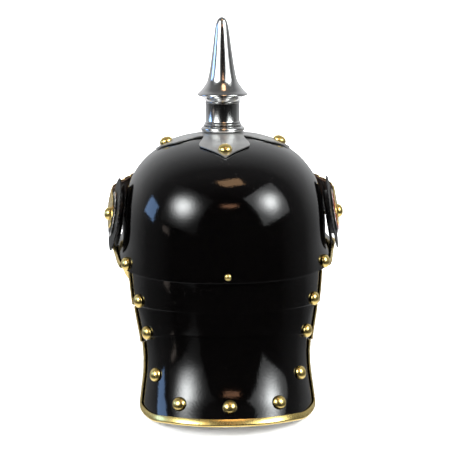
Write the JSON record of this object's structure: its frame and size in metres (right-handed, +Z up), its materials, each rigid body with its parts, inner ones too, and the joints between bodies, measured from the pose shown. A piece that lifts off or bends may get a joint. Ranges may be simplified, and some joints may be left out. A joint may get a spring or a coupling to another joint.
{
  "type": "pickelhaube",
  "caption": "Spiked helmet with a black lacquered steel skull, a riveted lobster-tail neck guard, a spike on a cross base, brass edging, cockades and a scaled chin strap.",
  "frame": {"origin": "on the table under the middle of the helmet's length and width, as it rests on its visor and tail", "axes": "+Z up, -Y towards the visor in front, +X towards the wearer's left"},
  "size_m": [0.2384, 0.323, 0.342],
  "materials": {
    "black_lacquer": "high gloss black lacquer on steel with faint orange peel and fine scratches",
    "polished_steel": "polished bright steel with faint turning lines",
    "satin_steel": "satin grey steel",
    "brass": "polished yellow brass, slightly satin on the edging",
    "black_cockade": "black enamelled sheet, half gloss",
    "silver_cockade": "silvered rayed sheet",
    "red_cockade": "red enamel, half gloss",
    "strap_leather": "dark brown smooth leather"
  },
  "bodies": {
    "root": {"base_stud_back": "brass", "base_stud_front": "brass", "base_stud_left": "brass", "base_stud_right": "brass", "cockade_back_disc_left": "black_cockade", "cockade_back_disc_right": "black_cockade", "cockade_boss_left": "black_cockade", "cockade_boss_right": "black_cockade", "cockade_centre_left": "black_cockade", "cockade_centre_right": "red_cockade", "cockade_front_disc_left": "black_cockade", "cockade_front_disc_right": "black_cockade", "cockade_ray_disc_left": "silver_cockade", "cockade_ray_disc_right": "silver_cockade", "cockade_stud_left": "brass", "cockade_stud_right": "brass", "lame_1": "black_lacquer", "lame_1_trim_left": "brass", "lame_1_trim_right": "brass", "lame_2": "black_lacquer", "lame_2_trim_left": "brass", "lame_2_trim_right": "brass", "neck_collar": "polished_steel", "rear_stud": "brass", "rivet_lame_1_left": "brass", "rivet_lame_1_right": "brass", "rivet_lame_2_left": "brass", "rivet_lame_2_right": "brass", "rivet_skull_left": "brass", "rivet_skull_right": "brass", "rivet_tail_corner_left": "brass", "rivet_tail_corner_right": "brass", "rivet_tail_middle": "brass", "rivet_tail_side_left": "brass", "rivet_tail_side_right": "brass", "skull": "black_lacquer", "spike": "polished_steel", "spike_base": "satin_steel", "strap_buckle": "brass", "strap_end_left": "brass", "strap_end_right": "brass", "strap_leather": "strap_leather", "strap_scales_left": "brass", "strap_scales_right": "brass", "tail_plate": "black_lacquer", "tail_trim": "brass", "visor_trim": "brass"}
  },
  "joints": []
}
